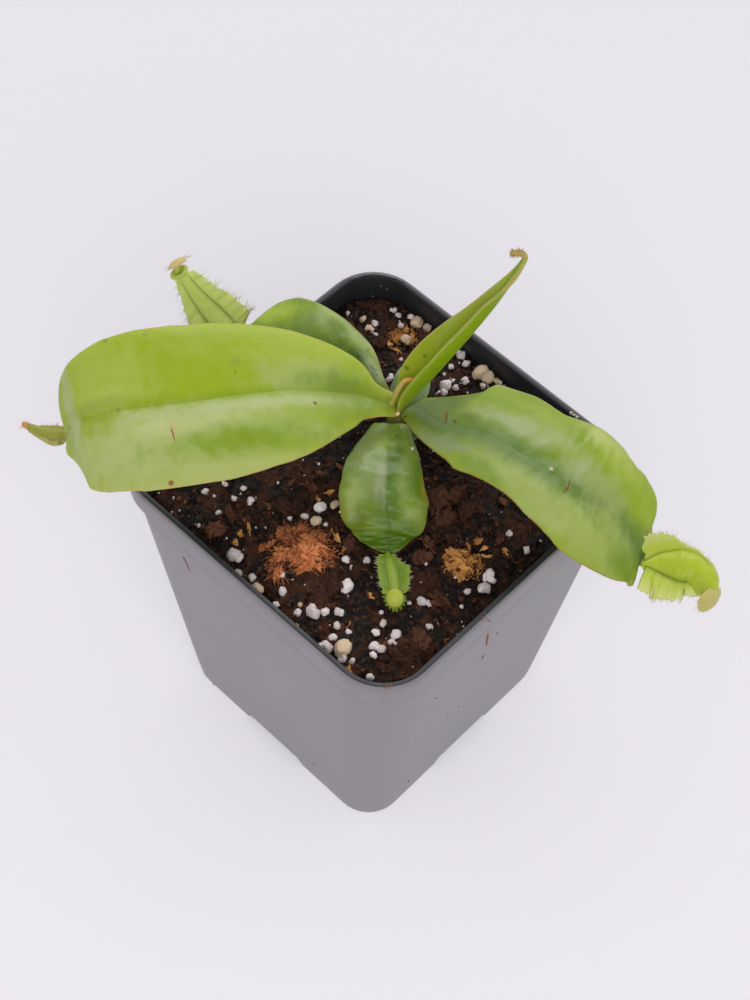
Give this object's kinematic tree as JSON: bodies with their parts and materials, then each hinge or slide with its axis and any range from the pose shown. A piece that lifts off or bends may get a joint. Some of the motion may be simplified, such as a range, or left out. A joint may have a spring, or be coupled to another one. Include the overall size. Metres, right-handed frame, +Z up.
{
  "type": "potted pitcher plant",
  "caption": "Young tropical pitcher plant: broad leaves on a short stem, each tendril carrying a small pitcher, in a square nursery pot of peat and perlite.",
  "frame": {"origin": "middle of the pot's underside, on the surface that the pot stands on", "axes": "+Z up, +X and +Y square to the pot's sides; the largest leaf points to -X -Y and the longest to +X"},
  "size_m": [0.1284, 0.0863, 0.1294],
  "materials": {
    "pot_plastic": "satin",
    "potting_mix": "matte",
    "bark": "matte",
    "leaf": "satin",
    "pitcher": "satin",
    "stem_skin": "satin"
  },
  "bodies": {
    "root": {"pot": "pot_plastic", "soil": "potting_mix", "bark_strip": "bark", "stem": "stem_skin", "leaf_bud": "stem_skin", "leaf_left": "leaf", "leaf_right": "leaf", "leaf_front": "leaf", "leaf_back": "leaf", "leaf_young": "leaf", "leaf_low_back": "leaf", "leaf_low_right": "leaf", "pitcher_right": "pitcher", "pitcher_front": "pitcher", "pitcher_back": "pitcher", "pitcher_left": "pitcher"}
  },
  "joints": []
}
